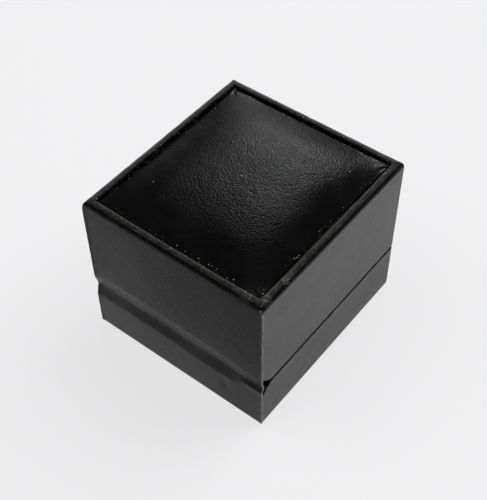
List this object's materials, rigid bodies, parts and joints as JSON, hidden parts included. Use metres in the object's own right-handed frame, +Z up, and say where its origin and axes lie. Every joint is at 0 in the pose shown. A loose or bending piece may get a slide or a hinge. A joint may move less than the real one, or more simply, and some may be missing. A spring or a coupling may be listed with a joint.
{
  "type": "ring display box",
  "caption": "Hinged ring box wrapped in dark leatherette: tall lid with a recessed padded top in a rolled rim, low base with padded ring cushions.",
  "frame": {"origin": "middle of the face the box rests on", "axes": "+Z up, +Y towards the hinge at the back, lid opens at the front towards -Y"},
  "size_m": [0.07, 0.0754, 0.0606],
  "materials": {
    "leather": "near-black fine-grained leatherette, semi-gloss",
    "board": "raw pressed board",
    "card": "grey-white card",
    "velvet": "short black velvet pile",
    "foam": "soft open foam",
    "steel": "plain bright steel sheet"
  },
  "bodies": {
    "base": {"base_bottom_sheet": "leather", "base_floor_board": "board", "base_front_board": "board", "base_left_board": "board", "base_right_board": "board", "base_back_board": "board", "base_side_cover": "leather", "base_back_cover": "leather", "base_neck": "velvet", "cushion_card": "card", "ring_cushion_front": "velvet", "ring_cushion_rear": "velvet", "hinge_base_leaf": "steel", "hinge_pin": "steel", "base_leaf_rivets": "steel", "hinge_spring": "steel", "hinge_fold": "leather"},
    "lid": {"lid_front_board": "board", "lid_left_board": "board", "lid_right_board": "board", "lid_back_board": "board", "lid_top_board": "board", "lid_side_cover": "leather", "lid_back_cover": "leather", "lid_rim_strip": "leather", "lid_pad_card": "card", "lid_pad_foam": "foam", "lid_pad_cover": "leather", "lid_lining": "velvet", "lid_inner_card": "card", "lid_inner_pad": "velvet", "hinge_lid_leaf": "steel", "lid_leaf_rivets": "steel"}
  },
  "joints": [
    {"name": "lid_hinge", "type": "hinge", "parent": "base", "child": "lid", "pos_m": [0, 0.0347, 0.0203], "axis": [-1, 0, 0], "range_deg": [0, 95], "deforming": ["hinge_fold", "hinge_spring"]}
  ]
}
